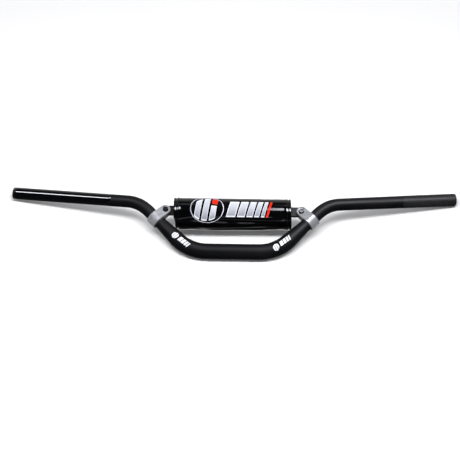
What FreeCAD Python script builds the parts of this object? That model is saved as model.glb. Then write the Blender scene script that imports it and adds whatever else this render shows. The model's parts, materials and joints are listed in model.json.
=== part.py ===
import FreeCAD, Part
import math
import os

# Tapered motocross handlebar with a bolted crossbar and a crossbar pad.
# Units are millimetres. It is drawn as it sits in a riser clamp: X along the clamp axis, Y the rise,
# Z the way its front faces. The last step lays it back on a flat surface, on its clamp section and tips.

V = FreeCAD.Vector
X_AXIS = V(1, 0, 0)
Z_AXIS = V(0, 0, 1)

# Handlebar tube: a 28.6 mm (1 1/8 in) clamp section tapering to 22.2 mm (7/8 in) at the controls
TIP_X = 397.5              # centre of each tip; the bar is 800 wide over their rims
CLAMP_R = 14.3
GRIP_R = 11.1
CLAMP_BORE_R = 9.5
GRIP_BORE_R = 7.4
LOWER_CORNER_X = 77.8     # where the clamp axis and the slanted axis would cross
UPPER_CORNER_X = 168.6    # where the slanted axis and the arm's axis would cross
UPPER_CORNER_RISE = 92.9
TIP_RISE = 128.0
TIP_SWEEP = 52.0
LOWER_BEND_R = 75.0
UPPER_BEND_R = 63.0
TAPER_END_GAP = 3.0       # how far below the crossbar clamp the taper ends
TIP_CHAMFER = 1.2
BORE_CHAMFER = 0.8

# Crossbar, its lugs and the clamps that hold them to the slanted tubes
BOLT_X = 121.6
BOLT_RISE = 77.8
CROSSBAR_R = 7.0
CROSSBAR_BORE_R = 5.0
CROSSBAR_HALF = 95.0
LUG_SPIGOT = 16.0
LUG_COLLAR = 4.0
LUG_HEIGHT = 16.8
LUG_THICK = 7.0
LINER_THICK = 1.0
LINER_PROUD = 1.5         # how far the liner shows past each side of the clamp
LINER_SLOT = 9.0
CLAMP_WALL = 2.5
CLAMP_WIDTH = 18.0
CLAMP_TAPER_DEG = 17.0    # how far each leg's outer face leans in towards its eye
CLAMP_BEVEL = 0.7
SEAT_R = 6.4              # spot face under the bolt head and the washer
SEAT_Z = 6.3
FUZZ = 0.01               # tolerance for picking out edges by where they lie

# M6 fasteners
BOLT_R = 3.0
BOLT_CLEARANCE_R = 3.2
HEAD_R = 5.25
HEAD_HEIGHT = 3.3
HEAD_RIM = 0.8            # upright part of the head's edge, below the dome
HEAD_DOME = (4.6, 2.4)    # radius and height of a point halfway round the dome
HEAD_FLAT_R = 3.4
SOCKET_ACROSS = 4.0
SOCKET_DEPTH = 2.0
WASHER_R = 6.0
WASHER_THICK = 1.6
NUT_ACROSS = 10.0
NUT_HEIGHT = 5.0
NUT_COLLAR_R = 4.3
NUT_COLLAR_HEIGHT = 1.4

# Crossbar pad: a foam block in a vinyl cover that closes behind with hook and loop
PAD_LENGTH = 205.0
PAD_OFFSET_X = -0.8
PAD_RISE = 74.5
PAD_Z = -2.0
PAD_HALF_Y = 27.0
PAD_HALF_Z = 25.5
PAD_CORNER_R = 22.0
COVER_THICK = 1.2
FOAM_HOLE_R = 7.4
FOAM_RECESS_R = 9.6       # wider end of that hole, over the lug's collar
FOAM_RECESS_GAP = 2.0     # how far the recess runs in past the collar
FOAM_SLIT = 1.5
COVER_GAP = (76.0, 84.0)  # rise of the two edges of the cover, where they meet behind the pad
STRIP_THICK = 0.8
STRIP_GAP = 0.3
STRIP_END_GAP = 2.0       # how far each tape stops short of the flap's ends
LOOP_HEIGHT = 11.5
LOOP_DROP = 0.5           # how far below the closure the loop tape starts
HOOK_FROM_ROOT_DEG = 12.0
HOOK_TAIL_GAP = 1.5
FLAP_THICK = 1.2
FLAP_ROOT_DEG = 45.0      # round the rear upper corner, from straight back
FLAP_TAIL = 7.0           # flat part of the flap below that corner
FLAP_END_GAP = 1.5        # between the flap's ends and the bindings
SEAM_SPREAD_DEG = 6.0
BINDING_WIDTH = 6.0
BINDING_THICK = 0.8
BINDING_LAP = 3.0         # how far the binding turns in over the foam's end
ROOT_CLEARANCE = 0.3
SIDES = {"left": -1, "right": 1}


def lying_tilt():
    """Angle that lays the bar down on its clamp section and its two tips."""
    reach = math.hypot(TIP_RISE, TIP_SWEEP)
    return math.atan2(TIP_SWEEP, TIP_RISE) - math.asin((CLAMP_R - GRIP_R) / reach)


def mirrored(shape, side):
    """A shape drawn for the right-hand side, moved to the side named."""
    return shape if side > 0 else shape.mirror(V(0, 0, 0), X_AXIS)


def write(node, shape):
    """Lay a finished shape down and write it as one STEP file."""
    placed = shape.copy()
    placed.rotate(V(0, 0, 0), X_AXIS, math.degrees(lying_tilt()))
    placed.exportStep("parts/" + node + ".step")


# ---------- handlebar tube ----------

LOWER_CORNER = V(LOWER_CORNER_X, 0, 0)
UPPER_CORNER = V(UPPER_CORNER_X, UPPER_CORNER_RISE, 0)
TIP = V(TIP_X, TIP_RISE, -TIP_SWEEP)
SLANT = (UPPER_CORNER - LOWER_CORNER).normalize()
ARM = (TIP - UPPER_CORNER).normalize()
INWARD = V(-SLANT.y, SLANT.x, 0)     # square to the slanted tube, towards the crossbar


def tangent_length(before, after, bend_r):
    return bend_r * math.tan(before.getAngle(after) / 2)


def run(start, end, start_r, end_r):
    """A straight stretch of round bar, tapered if its radii differ."""
    along = end - start
    if abs(start_r - end_r) < 1e-6:
        return Part.makeCylinder(start_r, along.Length, start, along)
    return Part.makeCone(start_r, end_r, along.Length, start, along)


def bend(corner, before, after, bend_r, r):
    """A round bend that is tangent to two straight runs meeting at a corner."""
    start = corner - before * tangent_length(before, after, bend_r)
    turn_axis = before.cross(after).normalize()
    centre = start + turn_axis.cross(before) * bend_r
    section = Part.Face(Part.Wire(Part.Circle(start, before, r).toShape()))
    return section.revolve(centre, turn_axis, math.degrees(before.getAngle(after)))


def foot_of_bolt():
    """The point of the slanted tube's axis nearest to the crossbar bolt."""
    return LOWER_CORNER + SLANT * (V(BOLT_X, BOLT_RISE, 0) - LOWER_CORNER).dot(SLANT)


def half_bar(clamp_r, grip_r, tip_step):
    """Right-hand half of the bar as a solid; tip_step widens or narrows its last stretch."""
    lower = tangent_length(X_AXIS, SLANT, LOWER_BEND_R)
    upper = tangent_length(SLANT, ARM, UPPER_BEND_R)
    taper_end = foot_of_bolt() - SLANT * (CLAMP_WIDTH / 2 + TAPER_END_GAP)
    slant_start = LOWER_CORNER + SLANT * lower
    slant_end = UPPER_CORNER - SLANT * upper
    step = abs(tip_step)
    solids = [
        run(V(0, 0, 0), LOWER_CORNER - X_AXIS * lower, clamp_r, clamp_r),
        bend(LOWER_CORNER, X_AXIS, SLANT, LOWER_BEND_R, clamp_r),
        run(slant_start, taper_end, clamp_r, grip_r),
        run(taper_end, slant_end, grip_r, grip_r),
        bend(UPPER_CORNER, SLANT, ARM, UPPER_BEND_R, grip_r),
        run(UPPER_CORNER + ARM * upper, TIP - ARM * step, grip_r, grip_r),
        run(TIP - ARM * step, TIP, grip_r, grip_r + tip_step),
    ]
    return solids[0].multiFuse(solids[1:])


def whole_bar(half):
    return half.fuse(mirrored(half, -1)).removeSplitter()


def bar_tube():
    outside = whole_bar(half_bar(CLAMP_R, GRIP_R, -TIP_CHAMFER))
    inside = whole_bar(half_bar(CLAMP_BORE_R, GRIP_BORE_R, BORE_CHAMFER))
    return outside.cut(inside)


# ---------- crossbar ----------

def crossbar_tube():
    start = V(-CROSSBAR_HALF, BOLT_RISE, 0)
    outside = Part.makeCylinder(CROSSBAR_R, 2 * CROSSBAR_HALF, start, X_AXIS)
    return outside.cut(Part.makeCylinder(CROSSBAR_BORE_R, 2 * CROSSBAR_HALF, start, X_AXIS))


def crossbar_lug():
    """A spigot in the end of the tube, a round collar and a flat eye for the clamp bolt."""
    root = V(CROSSBAR_HALF, BOLT_RISE, 0)
    flat_start = CROSSBAR_HALF + LUG_COLLAR
    half_height = LUG_HEIGHT / 2
    spigot = Part.makeCylinder(CROSSBAR_BORE_R, LUG_SPIGOT, root - X_AXIS * LUG_SPIGOT, X_AXIS)
    collar = Part.makeCylinder(half_height, LUG_COLLAR, root, X_AXIS)
    flat_corner = V(flat_start, BOLT_RISE - half_height, -LUG_THICK / 2)
    flat = Part.makeBox(BOLT_X - flat_start, LUG_HEIGHT, LUG_THICK, flat_corner)
    eye = Part.makeCylinder(half_height, LUG_THICK, V(BOLT_X, BOLT_RISE, -LUG_THICK / 2), Z_AXIS)
    hole = Part.makeCylinder(BOLT_CLEARANCE_R, 2 * LUG_THICK, V(BOLT_X, BOLT_RISE, -LUG_THICK), Z_AXIS)
    return spigot.multiFuse([collar, flat, eye]).cut(hole).removeSplitter()


# ---------- crossbar clamps ----------

def clamp_point(inward, z):
    """A point in the clamp's own section: distance from the tube's axis towards the bolt, and Z."""
    return INWARD * inward + Z_AXIS * z


def clamp_blank():
    """The clamp's tapered outer form, before its bore, slot and seats are cut."""
    outer_r = GRIP_R + LINER_THICK + CLAMP_WALL
    lean = math.radians(CLAMP_TAPER_DEG)
    eye_tip = bolt_distance() + CLAMP_WIDTH / 2
    tangent = (outer_r * math.sin(lean), outer_r * math.cos(lean))
    tip_z = (outer_r - eye_tip * math.sin(lean)) / math.cos(lean)
    around = Part.Arc(clamp_point(tangent[0], tangent[1]), clamp_point(-outer_r, 0),
                      clamp_point(tangent[0], -tangent[1]))
    corners = [clamp_point(tangent[0], -tangent[1]), clamp_point(eye_tip, -tip_z),
               clamp_point(eye_tip, tip_z), clamp_point(tangent[0], tangent[1])]
    edges = [around.toShape()] + [Part.LineSegment(a, b).toShape() for a, b in zip(corners, corners[1:])]
    section = Part.Face(Part.Wire(edges))
    section.translate(foot_of_bolt() - SLANT * (CLAMP_WIDTH / 2))
    return section.extrude(SLANT * CLAMP_WIDTH)


def bolt_distance():
    return (V(BOLT_X, BOLT_RISE, 0) - foot_of_bolt()).Length


def eye_outline():
    """Prism of the clamp seen from the front: a strip as wide as the clamp with a round eye."""
    reach = 2 * CLAMP_R
    half = CLAMP_WIDTH / 2
    bolt = V(BOLT_X, BOLT_RISE, 0)
    far = foot_of_bolt() - INWARD * reach
    ends = [far + SLANT * half, bolt + SLANT * half, bolt - SLANT * half, far - SLANT * half]
    round_end = Part.Arc(ends[1], bolt + INWARD * half, ends[2]).toShape()
    pairs = [(ends[0], ends[1]), (ends[2], ends[3]), (ends[3], ends[0])]
    edges = [Part.LineSegment(a, b).toShape() for a, b in pairs] + [round_end]
    face = Part.Face(Part.Wire(Part.__sortEdges__(edges)))
    face.translate(Z_AXIS * -reach)
    return face.extrude(Z_AXIS * 2 * reach)


def rim_edges(solid):
    """Edges round the clamp's sides and its eye, without the seams where a side runs into the eye."""
    foot = foot_of_bolt()
    picked = []
    for edge in solid.Edges:
        ends = [vertex.Point for vertex in edge.Vertexes]
        points = ends + [edge.CenterOfMass]
        on_side = all(abs((p - foot).dot(SLANT)) > CLAMP_WIDTH / 2 - FUZZ for p in points)
        on_eye = all((p - foot).dot(INWARD) > bolt_distance() - FUZZ for p in points)
        front_to_back = ends[0].z * ends[-1].z < 0
        if (on_side or on_eye) and not (on_eye and front_to_back):
            picked.append(edge)
    return picked


def crossbar_clamp():
    """A one-piece clamp that wraps the slanted tube and holds the lug between its two legs."""
    blank = clamp_blank().common(eye_outline())
    body = blank.makeChamfer(CLAMP_BEVEL, rim_edges(blank))
    long = 4 * CLAMP_WIDTH
    foot = foot_of_bolt()
    bore = Part.makeCylinder(GRIP_R + LINER_THICK, long, foot - SLANT * (long / 2), SLANT)
    bolt = V(BOLT_X, BOLT_RISE, 0)
    slot = Part.makeBox(2 * CLAMP_WIDTH, long, LUG_THICK)
    slot.translate(V(0, -long / 2, -LUG_THICK / 2))
    slot.rotate(V(0, 0, 0), Z_AXIS, math.degrees(math.atan2(INWARD.y, INWARD.x)))
    slot.translate(foot)
    hole = Part.makeCylinder(BOLT_CLEARANCE_R, long, bolt - Z_AXIS * (long / 2), Z_AXIS)
    seats = [Part.makeCylinder(SEAT_R, long, bolt + Z_AXIS * SEAT_Z, Z_AXIS),
             Part.makeCylinder(SEAT_R, long, bolt - Z_AXIS * SEAT_Z, -Z_AXIS)]
    return body.cut(bore).cut(slot).cut(hole).cut(seats[0]).cut(seats[1])


def clamp_liner():
    """Thin split sleeve between the tube and its clamp, open towards the lug."""
    width = CLAMP_WIDTH + 2 * LINER_PROUD
    start = foot_of_bolt() - SLANT * (width / 2)
    ring = Part.makeCylinder(GRIP_R + LINER_THICK, width, start, SLANT)
    ring = ring.cut(Part.makeCylinder(GRIP_R, width, start, SLANT))
    slot = Part.makeBox(2 * CLAMP_R, 2 * width, LINER_SLOT)
    slot.translate(V(0, -width, -LINER_SLOT / 2))
    slot.rotate(V(0, 0, 0), Z_AXIS, math.degrees(math.atan2(INWARD.y, INWARD.x)))
    slot.translate(foot_of_bolt())
    return ring.cut(slot)


def hexagon(across, height, base):
    """A hexagonal prism standing along +Z."""
    corner_r = across / math.sqrt(3)
    points = [base + V(corner_r * math.cos(math.radians(a)), corner_r * math.sin(math.radians(a)), 0)
              for a in range(0, 361, 60)]
    return Part.Face(Part.makePolygon(points)).extrude(V(0, 0, height))


def clamp_bolt():
    """Button-head socket screw, its head on the front seat."""
    base = V(BOLT_X, BOLT_RISE, SEAT_Z)
    shank_end = -SEAT_Z - WASHER_THICK - NUT_HEIGHT
    shank = Part.makeCylinder(BOLT_R, SEAT_Z - shank_end, V(BOLT_X, BOLT_RISE, shank_end), Z_AXIS)
    rim = base + Z_AXIS * HEAD_RIM
    profile = [
        Part.LineSegment(base, base + X_AXIS * HEAD_R),
        Part.LineSegment(base + X_AXIS * HEAD_R, rim + X_AXIS * HEAD_R),
        Part.Arc(rim + X_AXIS * HEAD_R, base + V(HEAD_DOME[0], 0, HEAD_DOME[1]),
                 base + V(HEAD_FLAT_R, 0, HEAD_HEIGHT)),
        Part.LineSegment(base + V(HEAD_FLAT_R, 0, HEAD_HEIGHT), base + V(0, 0, HEAD_HEIGHT)),
        Part.LineSegment(base + V(0, 0, HEAD_HEIGHT), base),
    ]
    head = Part.Face(Part.Wire([line.toShape() for line in profile])).revolve(base, Z_AXIS, 360)
    socket = hexagon(SOCKET_ACROSS, SOCKET_DEPTH, base + Z_AXIS * (HEAD_HEIGHT - SOCKET_DEPTH))
    return shank.fuse(head).cut(socket)


def clamp_washer():
    base = V(BOLT_X, BOLT_RISE, -SEAT_Z - WASHER_THICK)
    disc = Part.makeCylinder(WASHER_R, WASHER_THICK, base, Z_AXIS)
    return disc.cut(Part.makeCylinder(BOLT_CLEARANCE_R, WASHER_THICK, base, Z_AXIS))


def clamp_nut():
    """Lock nut with a round collar on its outer end."""
    base = V(BOLT_X, BOLT_RISE, -SEAT_Z - WASHER_THICK - NUT_HEIGHT)
    collar = Part.makeCylinder(NUT_COLLAR_R, NUT_COLLAR_HEIGHT, base, Z_AXIS)
    body = hexagon(NUT_ACROSS, NUT_HEIGHT - NUT_COLLAR_HEIGHT, base + Z_AXIS * NUT_COLLAR_HEIGHT)
    return collar.fuse(body).cut(Part.makeCylinder(BOLT_R, NUT_HEIGHT, base, Z_AXIS))


# ---------- crossbar pad ----------

PAD_START = PAD_OFFSET_X - PAD_LENGTH / 2


def pad_outline(offset, x):
    """The pad's rounded section at X, offset outwards from the cover's surface, as a closed wire."""
    r = PAD_CORNER_R + offset
    centre_y = PAD_HALF_Y - PAD_CORNER_R
    centre_z = PAD_HALF_Z - PAD_CORNER_R
    edges = []
    quarter = [(1, 1, 0), (-1, 1, 90), (-1, -1, 180), (1, -1, 270)]
    ends = []
    for sign_y, sign_z, start in quarter:
        centre = V(x, PAD_RISE + sign_y * centre_y, PAD_Z + sign_z * centre_z)
        points = [centre + V(0, r * math.cos(math.radians(start + turn)),
                             r * math.sin(math.radians(start + turn))) for turn in (0, 45, 90)]
        edges.append(Part.Arc(*points).toShape())
        ends.append((points[0], points[2]))
    for index, (first, last) in enumerate(ends):
        edges.append(Part.LineSegment(last, ends[(index + 1) % 4][0]).toShape())
    return Part.Wire(Part.__sortEdges__(edges))


def pad_block(offset, start, length):
    return Part.Face(pad_outline(offset, start)).extrude(V(length, 0, 0))


def behind(low_rise, high_rise, start, length):
    """A box behind the pad between two rises, for cutting the closure."""
    return Part.makeBox(length, high_rise - low_rise, 2 * PAD_HALF_Z,
                        V(start, low_rise, PAD_Z - 2 * PAD_HALF_Z))


def pad_foam():
    """Foam block with a hole for the crossbar and a slit behind, so that it pushes on."""
    block = pad_block(-COVER_THICK, PAD_START, PAD_LENGTH)
    hole = Part.makeCylinder(FOAM_HOLE_R, PAD_LENGTH, V(PAD_START, BOLT_RISE, 0), X_AXIS)
    recess_start = V(CROSSBAR_HALF - FOAM_RECESS_GAP, BOLT_RISE, 0)
    recess = Part.makeCylinder(FOAM_RECESS_R, PAD_LENGTH, recess_start, X_AXIS)
    slit = Part.makeBox(PAD_LENGTH, FOAM_SLIT, 2 * PAD_HALF_Z,
                        V(PAD_START, BOLT_RISE - FOAM_SLIT / 2, -2 * PAD_HALF_Z))
    return block.cut(hole).cut(recess).cut(mirrored(recess, -1)).cut(slit)


REAR_CORNER = V(0, PAD_RISE + PAD_HALF_Y - PAD_CORNER_R, PAD_Z - PAD_HALF_Z + PAD_CORNER_R)


def rear_point(r, degrees):
    """A point round the pad's rear upper corner, measured from straight back."""
    angle = math.radians(degrees)
    return REAR_CORNER + V(0, r * math.sin(angle), -r * math.cos(angle))


def flap_layer(inner, thick, root_deg, tail, start, length):
    """A curved strip round the rear upper corner with a flat tail below it."""
    r_in = PAD_CORNER_R + inner
    r_out = r_in + thick
    down = V(0, -tail, 0)
    loop = [
        Part.Arc(rear_point(r_out, root_deg), rear_point(r_out, root_deg / 2), rear_point(r_out, 0)),
        Part.LineSegment(rear_point(r_out, 0), rear_point(r_out, 0) + down),
        Part.LineSegment(rear_point(r_out, 0) + down, rear_point(r_in, 0) + down),
        Part.LineSegment(rear_point(r_in, 0) + down, rear_point(r_in, 0)),
        Part.Arc(rear_point(r_in, 0), rear_point(r_in, root_deg / 2), rear_point(r_in, root_deg)),
        Part.LineSegment(rear_point(r_in, root_deg), rear_point(r_out, root_deg)),
    ]
    face = Part.Face(Part.Wire([line.toShape() for line in loop]))
    face.translate(V(start, 0, 0))
    return face.extrude(V(length, 0, 0))


FLAP_START = PAD_START + BINDING_WIDTH + FLAP_END_GAP
FLAP_LENGTH = PAD_LENGTH - 2 * (BINDING_WIDTH + FLAP_END_GAP)
FLAP_INNER = 2 * STRIP_THICK + STRIP_GAP
ROOT_R = PAD_CORNER_R + FLAP_INNER + FLAP_THICK / 2


def pad_cover():
    """Vinyl wrap, open behind, with the raised seam that the flap is sewn to."""
    wrap = pad_block(0.0, PAD_START, PAD_LENGTH).cut(pad_block(-COVER_THICK, PAD_START, PAD_LENGTH))
    wrap = wrap.cut(behind(COVER_GAP[0], COVER_GAP[1], PAD_START, PAD_LENGTH))
    root = rear_point(ROOT_R, FLAP_ROOT_DEG)
    ridge = seam_ridge()
    relief = Part.makeCylinder(FLAP_THICK / 2 + ROOT_CLEARANCE, PAD_LENGTH, root + V(PAD_START, 0, 0), X_AXIS)
    return wrap.fuse(ridge.cut(relief)).removeSplitter()


def seam_ridge():
    """Folded seam allowance that carries the flap's root, just above it."""
    low, high = FLAP_ROOT_DEG, FLAP_ROOT_DEG + SEAM_SPREAD_DEG
    r_in = PAD_CORNER_R - COVER_THICK / 2
    r_out = PAD_CORNER_R + FLAP_INNER
    loop = [
        Part.Arc(rear_point(r_in, low), rear_point(r_in, (low + high) / 2), rear_point(r_in, high)),
        Part.LineSegment(rear_point(r_in, high), rear_point(r_out, high)),
        Part.Arc(rear_point(r_out, high), rear_point(r_out, (low + high) / 2), rear_point(r_out, low)),
        Part.LineSegment(rear_point(r_out, low), rear_point(r_in, low)),
    ]
    face = Part.Face(Part.Wire([line.toShape() for line in loop]))
    face.translate(V(FLAP_START, 0, 0))
    return face.extrude(V(FLAP_LENGTH, 0, 0))


def cover_flap():
    """Closure flap with a rounded root that its seam folds about."""
    strip = flap_layer(FLAP_INNER, FLAP_THICK, FLAP_ROOT_DEG, FLAP_TAIL, FLAP_START, FLAP_LENGTH)
    root = rear_point(ROOT_R, FLAP_ROOT_DEG) + V(FLAP_START, 0, 0)
    bead = Part.makeCylinder(FLAP_THICK / 2, FLAP_LENGTH, root, X_AXIS)
    return strip.fuse(bead).removeSplitter()


def hook_strip():
    """Hook tape on the inside of the flap."""
    inner = STRIP_THICK + STRIP_GAP
    return flap_layer(inner, STRIP_THICK, FLAP_ROOT_DEG - HOOK_FROM_ROOT_DEG, FLAP_TAIL - HOOK_TAIL_GAP,
                      FLAP_START + STRIP_END_GAP, FLAP_LENGTH - 2 * STRIP_END_GAP)


def loop_strip():
    """Loop tape on the cover below the closure, under the flap's tail."""
    start, length = FLAP_START + STRIP_END_GAP, FLAP_LENGTH - 2 * STRIP_END_GAP
    high = COVER_GAP[0] - LOOP_DROP
    band = pad_block(STRIP_THICK, start, length).cut(pad_block(0.0, start, length))
    return band.common(behind(high - LOOP_HEIGHT, high, start, length))


def cover_binding(side):
    """Sewn edge binding round one end of the cover, turned in over the foam."""
    end = PAD_OFFSET_X + side * PAD_LENGTH / 2
    inner_x = end - side * BINDING_WIDTH
    outer_x = end + side * BINDING_THICK
    low, high = min(inner_x, outer_x), max(inner_x, outer_x)
    shell = pad_block(BINDING_THICK, low, high - low)
    shell = shell.cut(pad_block(0.0, min(inner_x, end), BINDING_WIDTH))
    shell = shell.cut(pad_block(-BINDING_LAP, low - 1, high - low + 2))
    return shell.cut(behind(COVER_GAP[0], COVER_GAP[1], low - 1, high - low + 2))


def main():
    os.makedirs("parts", exist_ok=True)
    write("bar_tube", bar_tube())
    write("crossbar_tube", crossbar_tube())
    paired = {
        "crossbar_lug": crossbar_lug(),
        "crossbar_clamp": crossbar_clamp(),
        "clamp_liner": clamp_liner(),
        "clamp_bolt": clamp_bolt(),
        "clamp_washer": clamp_washer(),
        "clamp_nut": clamp_nut(),
    }
    for name, shape in paired.items():
        for side_name, side in SIDES.items():
            write(name + "_" + side_name, mirrored(shape, side))
    write("pad_foam", pad_foam())
    write("pad_cover", pad_cover())
    write("cover_flap", cover_flap())
    write("hook_strip", hook_strip())
    write("loop_strip", loop_strip())
    for side_name, side in SIDES.items():
        write("cover_binding_" + side_name, cover_binding(side))
    arm_straight = (TIP - UPPER_CORNER).Length - tangent_length(SLANT, ARM, UPPER_BEND_R)
    print("clamp straight", 2 * (LOWER_CORNER_X - tangent_length(X_AXIS, SLANT, LOWER_BEND_R)))
    print("arm straight", arm_straight, "tilt", math.degrees(lying_tilt()))


main()
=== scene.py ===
import json
import math

import bmesh
import bpy
from mathutils import Matrix, Vector, noise
from mathutils.bvhtree import BVHTree


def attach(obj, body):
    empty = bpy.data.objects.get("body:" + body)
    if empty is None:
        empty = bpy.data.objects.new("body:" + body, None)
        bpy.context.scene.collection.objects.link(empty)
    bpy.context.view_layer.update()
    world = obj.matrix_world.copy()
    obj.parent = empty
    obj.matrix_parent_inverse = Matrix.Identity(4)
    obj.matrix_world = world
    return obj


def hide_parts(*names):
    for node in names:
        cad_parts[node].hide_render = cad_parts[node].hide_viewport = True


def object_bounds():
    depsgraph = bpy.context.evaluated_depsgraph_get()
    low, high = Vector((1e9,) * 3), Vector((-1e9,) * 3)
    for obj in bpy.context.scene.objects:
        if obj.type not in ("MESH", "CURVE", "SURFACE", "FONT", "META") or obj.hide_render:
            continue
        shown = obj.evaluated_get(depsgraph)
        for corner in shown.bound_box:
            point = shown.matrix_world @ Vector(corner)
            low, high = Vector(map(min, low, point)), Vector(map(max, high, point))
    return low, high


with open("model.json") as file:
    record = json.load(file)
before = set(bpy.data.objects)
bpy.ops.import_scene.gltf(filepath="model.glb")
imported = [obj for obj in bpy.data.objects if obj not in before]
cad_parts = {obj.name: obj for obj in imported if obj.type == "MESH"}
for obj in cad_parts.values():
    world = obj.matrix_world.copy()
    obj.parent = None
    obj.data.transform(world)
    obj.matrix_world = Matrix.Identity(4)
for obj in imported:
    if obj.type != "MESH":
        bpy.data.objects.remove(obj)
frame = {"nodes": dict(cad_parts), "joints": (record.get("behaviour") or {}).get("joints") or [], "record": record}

# Lengths are metres, in the CAD frame. Most places are first worked out in the mounted frame, which
# is the bar as it sits on a motorcycle: x along the clamp axis, rise up, front towards the headlamp.

cad_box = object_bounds()
nodes = frame["nodes"]
joints = {joint["name"]: joint for joint in frame["joints"]}
mounts = {mount["name"]: mount for mount in frame["record"]["mounts"]}
MM = 0.001

crossbar = Vector(joints["pad_turn"]["pos_m"])
CROSSBAR_RISE = crossbar.length
LAY = Matrix.Rotation(math.atan2(crossbar.z, crossbar.y), 4, "X")
MOUNTED = LAY.inverted()


ALONG_X = Vector((1, 0, 0))
BACKWARDS = LAY.to_3x3() @ Vector((0, 0, -1))


def laid(x, rise, front):
    """A place in the mounted frame, in the CAD frame."""
    return LAY @ Vector((x, rise, front))


def mounted_box(node):
    """Lowest and highest corner of a CAD node in the mounted frame."""
    points = [MOUNTED @ vertex.co for vertex in nodes[node].data.vertices]
    return (Vector([min(p[i] for p in points) for i in range(3)]),
            Vector([max(p[i] for p in points) for i in range(3)]))


# ---------- camera, stage and light ----------

VIEW_ELEVATION = math.radians(47.2)
VIEW_TURN = math.radians(1.8)  # how far round to the right the camera stands
VIEW_ROLL = math.radians(-0.46)
VIEW_DISTANCE = 14.0
VIEW_WIDTH = 0.8228
ORIGIN_RIGHT = 0.0046
ORIGIN_BELOW = 0.0390
SENSOR = 36.0
FLOOR_Z = cad_box[0].z


def make_camera():
    level = Vector((math.cos(VIEW_TURN), math.sin(VIEW_TURN), 0))
    near = Vector((math.sin(VIEW_TURN), -math.cos(VIEW_TURN), 0))
    back = near * math.cos(VIEW_ELEVATION) + Vector((0, 0, math.sin(VIEW_ELEVATION)))
    flat_up = Vector((0, 0, math.cos(VIEW_ELEVATION))) - near * math.sin(VIEW_ELEVATION)
    right = level * math.cos(VIEW_ROLL) + flat_up * math.sin(VIEW_ROLL)
    up = flat_up * math.cos(VIEW_ROLL) - level * math.sin(VIEW_ROLL)
    data = bpy.data.cameras.new("camera")
    data.sensor_width = SENSOR
    data.lens = SENSOR * VIEW_DISTANCE / VIEW_WIDTH
    data.clip_end = 100
    camera = bpy.data.objects.new("camera", data)
    bpy.context.scene.collection.objects.link(camera)
    turn = Matrix((right, up, back)).transposed().to_4x4()
    aim = up * ORIGIN_BELOW - right * ORIGIN_RIGHT
    camera.matrix_world = Matrix.Translation(aim + back * VIEW_DISTANCE) @ turn
    bpy.context.scene.camera = camera


COOL = (0.93, 0.94, 1.0)


def area_light(name, place, size, power, turn=(0, 0, 0), glossy=True, diffuse=True):
    data = bpy.data.lights.new(name, "AREA")
    data.shape = "RECTANGLE"
    data.size, data.size_y = size
    data.energy = power
    data.color = COOL if glossy else (1.0, 1.0, 1.0)
    light = bpy.data.objects.new(name, data)
    light.location = place
    light.rotation_euler = [math.radians(a) for a in turn]
    light.visible_glossy = glossy
    light.visible_diffuse = diffuse
    bpy.context.scene.collection.objects.link(light)


RAMP_SOCKETS = ("From Min", "From Max", "To Min", "To Max")
DOME = 0.50  # strength of the pale room on everything that scatters light
SHINE = 1.9  # strength of the bright part of what the object mirrors
# Where on its axis each ramp starts and ends, then its levels there.
SHINE_LOW = (0.66, 0.56, 0.0, 1.0)  # the bright part is low in the sky
SHINE_BEHIND = (-0.1, 0.5, 0.03, 1.0)  # and mostly behind the object
SHINE_BELOW = (0.02, -0.12, 0.04, 0.10)  # a little more comes from everywhere, most from below


def make_world():
    """A pale room; what the object mirrors of it is darker overhead than low down behind."""
    world = bpy.data.worlds.new("studio")
    bpy.context.scene.world = world
    world.use_nodes = True
    tree = world.node_tree
    new = tree.nodes.new
    link = tree.links.new
    path = new("ShaderNodeLightPath")

    def ramp(value, limits):
        made = new("ShaderNodeMapRange")
        made.interpolation_type = "SMOOTHSTEP"
        for name, number in zip(RAMP_SOCKETS, limits):
            made.inputs[name].default_value = number
        link(value, made.inputs["Value"])
        return made.outputs[0]

    def chosen(ray, otherwise, when):
        made = new("ShaderNodeMixShader")
        link(path.outputs[ray], made.inputs[0])
        link(otherwise.outputs[0], made.inputs[1])
        link(when.outputs[0], made.inputs[2])
        return made

    seen = tree.nodes["Background"]
    seen.inputs["Color"].default_value = (0.93, 0.93, 0.94, 1)
    mirrored = new("ShaderNodeBackground")
    direction = new("ShaderNodeTexCoord")
    split = new("ShaderNodeSeparateXYZ")
    link(direction.outputs["Generated"], split.inputs[0])
    both = new("ShaderNodeMath")
    both.operation = "MULTIPLY"
    link(ramp(split.outputs["Z"], SHINE_LOW), both.inputs[0])
    link(ramp(split.outputs["Y"], SHINE_BEHIND), both.inputs[1])
    level = new("ShaderNodeMath")
    level.operation = "MULTIPLY_ADD"
    link(both.outputs[0], level.inputs[0])
    level.inputs[1].default_value = SHINE
    link(ramp(split.outputs["Z"], SHINE_BELOW), level.inputs[2])
    link(level.outputs[0], mirrored.inputs["Strength"])
    dome = new("ShaderNodeBackground")
    dome.inputs["Color"].default_value = (1.0, 1.0, 1.02, 1)
    dome.inputs["Strength"].default_value = DOME
    indirect = chosen("Is Diffuse Ray", mirrored, dome)
    mix = chosen("Is Camera Ray", indirect, seen)
    link(mix.outputs[0], tree.nodes["World Output"].inputs["Surface"])


# ---------- materials ----------

SLANT_RUN, SLANT_RISE = 0.0908, 0.0929  # right slanted tube, from the corner of one bend to the next
SLANT = (LAY.to_3x3() @ Vector((SLANT_RUN, SLANT_RISE, 0.0))).normalized()


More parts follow.
